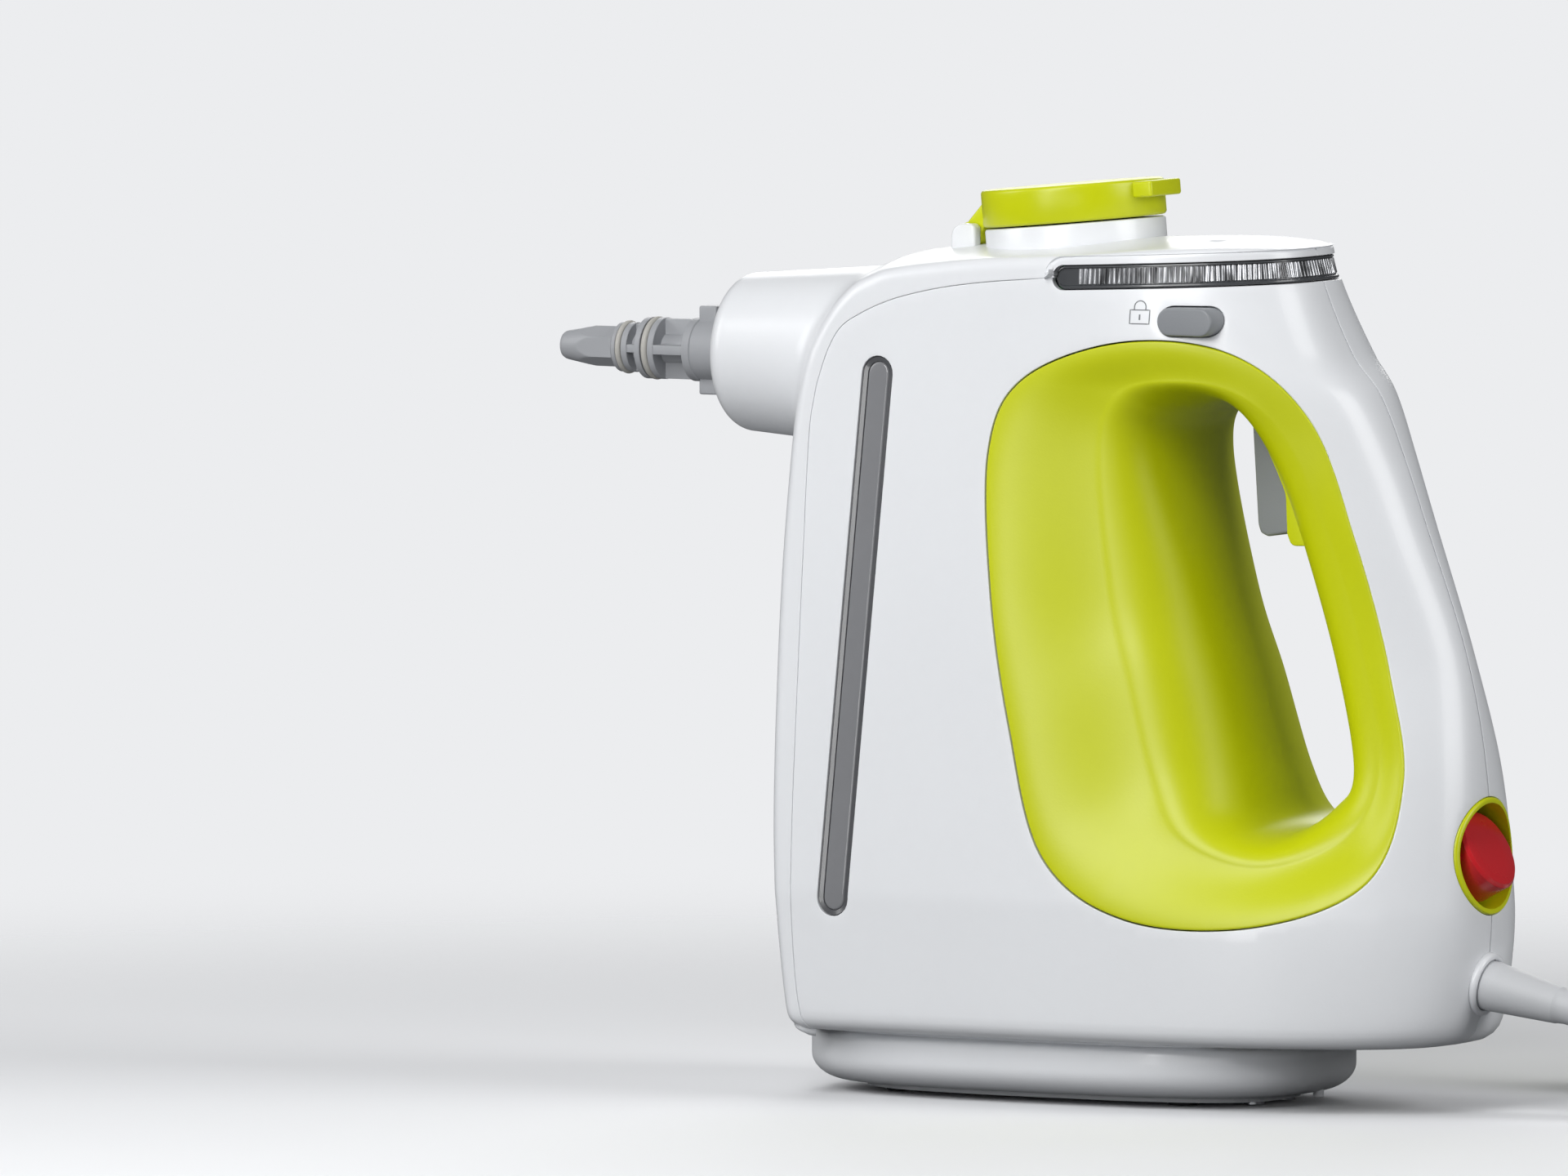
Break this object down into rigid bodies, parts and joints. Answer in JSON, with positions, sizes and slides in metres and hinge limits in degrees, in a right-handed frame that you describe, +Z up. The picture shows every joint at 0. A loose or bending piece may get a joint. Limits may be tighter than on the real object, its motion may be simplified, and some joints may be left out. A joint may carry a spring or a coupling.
{
  "type": "steam cleaner",
  "caption": "Hand-held pressure steam cleaner with a closed hand opening, trigger and lock, filler cap on top, level window, bayonet steam nozzle and a coiled cord with its plug",
  "frame": {"origin": "on the floor, under the middle of the plinth", "axes": "+X to the rear (grip and cord), -X the nozzle, +Z up, -Y the left side"},
  "size_m": [0.4787, 0.1685, 0.268],
  "materials": {
    "white_shell": "fine satin moulding",
    "lime_liner": "satin lime moulding",
    "lime_cap": "satin lime moulding",
    "light_bar": "ribbed translucent bar",
    "board": "printed board",
    "smoked_window": "smoked glossy",
    "rubber_seal": "moulded rubber",
    "steel": "drawn steel",
    "grey_button": "satin grey",
    "lime_trim": "satin lime",
    "black_plastic": "plain moulded black",
    "grey_nozzle": "glass filled grey",
    "pale_ring": "pale silicone",
    "tank_plastic": "natural moulded",
    "hose_silicone": "silicone",
    "cast_boiler": "as cast",
    "red_rocker": "glossy red",
    "plate_plastic": "plain moulded",
    "nylon": "natural nylon",
    "cord_pvc": "smooth cord sheath",
    "grey_sleeve": "flexible grey sleeve"
  },
  "bodies": {
    "housing": {"left_shell": "white_shell", "right_shell": "white_shell", "spine_cover": "white_shell", "left_handle_liner": "lime_liner", "right_handle_liner": "lime_liner", "light_band": "light_bar", "led_board": "board", "tank_window": "smoked_window", "hinge_pin": "steel", "trigger_pin": "steel", "trigger_spring": "steel", "trigger_guard": "lime_trim", "microswitch": "black_plastic", "nozzle": "grey_nozzle", "nozzle_o_rings": "pale_ring", "nozzle_nut": "steel", "steam_pipe": "steel", "water_tank": "tank_plastic", "tank_cover": "tank_plastic", "water_hoses": "hose_silicone", "pump": "black_plastic", "pump_mounts": "rubber_seal", "boiler": "cast_boiler", "thermostat": "steel", "thermal_fuse": "steel", "switch_bezel": "lime_trim", "switch_body": "black_plastic", "control_board": "board", "terminal_block": "nylon", "cord_clamp": "nylon", "bottom_plate": "plate_plastic", "feet": "rubber_seal", "case_screws": "steel", "base_screws": "steel", "strain_relief": "grey_sleeve", "cord_tube": "cord_pvc", "cord_coil": "cord_pvc", "cord_tie": "black_plastic", "plug_body": "cord_pvc", "plug_pins": "steel"},
    "cap": {"filler_cap": "lime_cap", "cap_seal": "rubber_seal"},
    "lock": {"lock_bolt": "grey_button"},
    "trigger_lever": {"trigger": "grey_button"},
    "rocker": {"power_rocker": "red_rocker"}
  },
  "joints": [
    {"name": "cap_hinge", "type": "hinge", "parent": "housing", "child": "cap", "pos_m": [-0.0342, 0, 0.25], "axis": [0, -1, 0], "range_deg": [0, 110]},
    {"name": "trigger_pivot", "type": "hinge", "parent": "housing", "child": "trigger_lever", "pos_m": [0.072, 0, 0.228], "axis": [0, -1, 0], "range_deg": [0, 6], "stiffness_Nm_per_rad": 0.5, "deforming": ["trigger_spring"]},
    {"name": "lock_slide", "type": "slide", "parent": "housing", "child": "lock", "axis": [0, 1, 0], "range_m": [0, 0.0045]},
    {"name": "rocker_pivot", "type": "hinge", "parent": "housing", "child": "rocker", "pos_m": [0.13099, 0, 0.0747], "axis": [0, 1, 0], "range_deg": [0, 56]}
  ]
}
